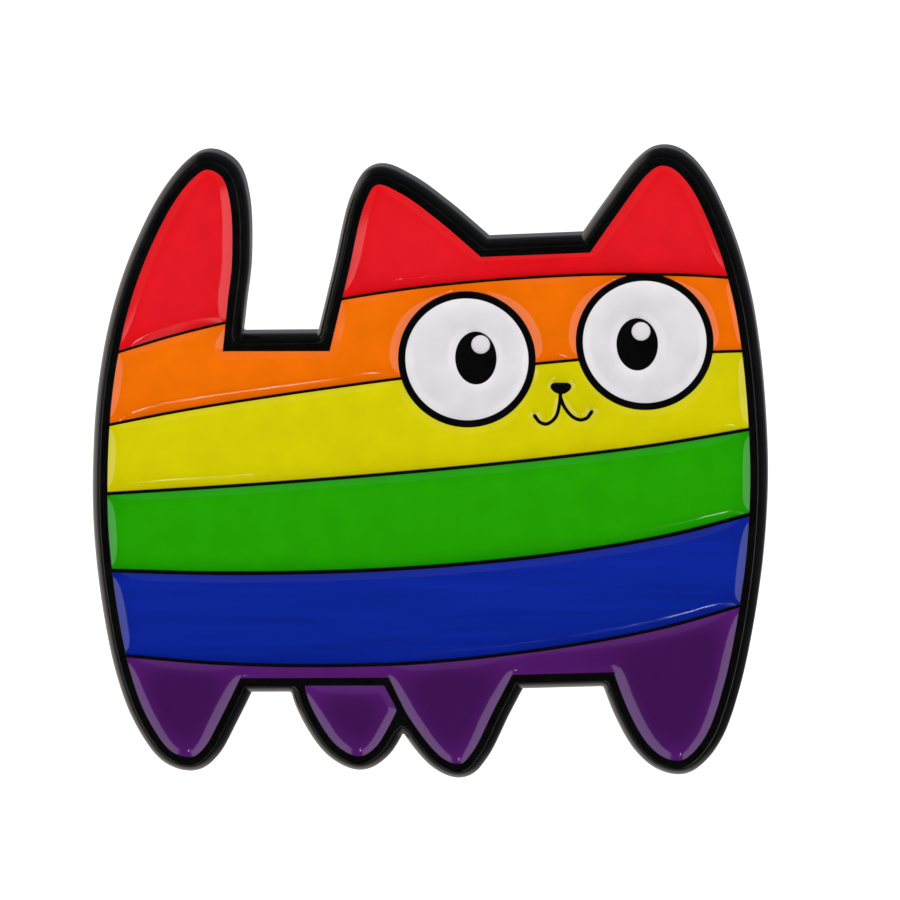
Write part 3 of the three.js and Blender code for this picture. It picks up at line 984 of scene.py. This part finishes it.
def panels(tree, direction):
    """The brightness of two curved panels that stand on either side of the camera and of a small lamp.

    Both are placed about the way the flat face sees by reflection, by the angle away from it and by the
    cosine of the angle around it, counted from the top.
    """
    ahead = direction_of(-CAMERA_AZIMUTH, -CAMERA_ELEVATION)
    up = (Vector((0, 0, 1)) - ahead * ahead.z).normalized()
    off = math_node(tree, "ARCCOSINE", math_node(tree, "MINIMUM", along(tree, direction, ahead), 0.99999))
    around = math_node(tree, "DIVIDE", along(tree, direction, up), math_node(tree, "SINE", off))
    edges = [math.radians(angle) for angle in PANEL_EDGES]
    inner, outer = rising(tree, off, *edges[:2]), rising(tree, off, *edges[2:])
    low, high = rising(tree, around, *PANEL_LOW_END), rising(tree, around, *PANEL_HIGH_END)
    width = math_node(tree, "SUBTRACT", inner, outer, clamp=True)
    shape = math_node(tree, "MULTIPLY", width, math_node(tree, "SUBTRACT", low, high, clamp=True))
    veil = math_node(tree, "MULTIPLY", width, math_node(tree, "SUBTRACT", 1, low, clamp=True))
    lamp_off, lamp_edge = math.radians(LAMP_OFF), math.cos(math.radians(LAMP_RADIUS))
    lamp_way = Matrix.Rotation(math.radians(LAMP_TILT), 3, "Y") @ up
    lamp = (ahead * math.cos(lamp_off) + lamp_way * math.sin(lamp_off)).normalized()
    spot = math_node(tree, "GREATER_THAN", along(tree, direction, lamp), lamp_edge)
    total = math_node(tree, "MULTIPLY", shape, PANEL_RADIANCE)
    for amount, radiance in ((veil, VEIL_RADIANCE), (spot, LAMP_RADIANCE)):
        total = math_node(tree, "MULTIPLY_ADD", amount, radiance, total)
    return total


def world():
    """A light tent. Glossy surfaces see it dark in front, around the camera, with two lit panels there. It
    is brighter on the left and below than on the right and above."""
    sky = bpy.data.worlds.new("studio")
    bpy.context.scene.world = sky
    sky.use_nodes = True
    tree = sky.node_tree
    direction = tree.nodes.new("ShaderNodeTexCoord").outputs["Generated"]
    depth = math_node(tree, "MULTIPLY_ADD", along(tree, direction, (0, 1, 0)), 0.5, 0.5)
    side = rising(tree, along(tree, direction, BRIGHT_SIDE), *BRIGHT_SIDE_EDGE)
    tent = mixed(tree, side, ramp(tree, depth, TENT_DARK), ramp(tree, depth, TENT_BRIGHT))
    lit = tree.nodes.new("ShaderNodeVectorMath")
    lit.operation = "ADD"
    tree.links.new(tent, lit.inputs[0])
    tree.links.new(panels(tree, direction), lit.inputs[1])
    ray = tree.nodes.new("ShaderNodeLightPath")
    seen = mixed(tree, ray.outputs["Is Glossy Ray"], (FILL, FILL, FILL), lit.outputs["Vector"])
    seen = mixed(tree, ray.outputs["Is Camera Ray"], seen, (1, 1, 1))
    tree.links.new(seen, tree.nodes["Background"].inputs["Color"])


camera()
floor()
world()
for name, azimuth in SOFTBOXES.items():
    softbox(name, azimuth)
bpy.context.scene.view_settings.view_transform = "Standard"
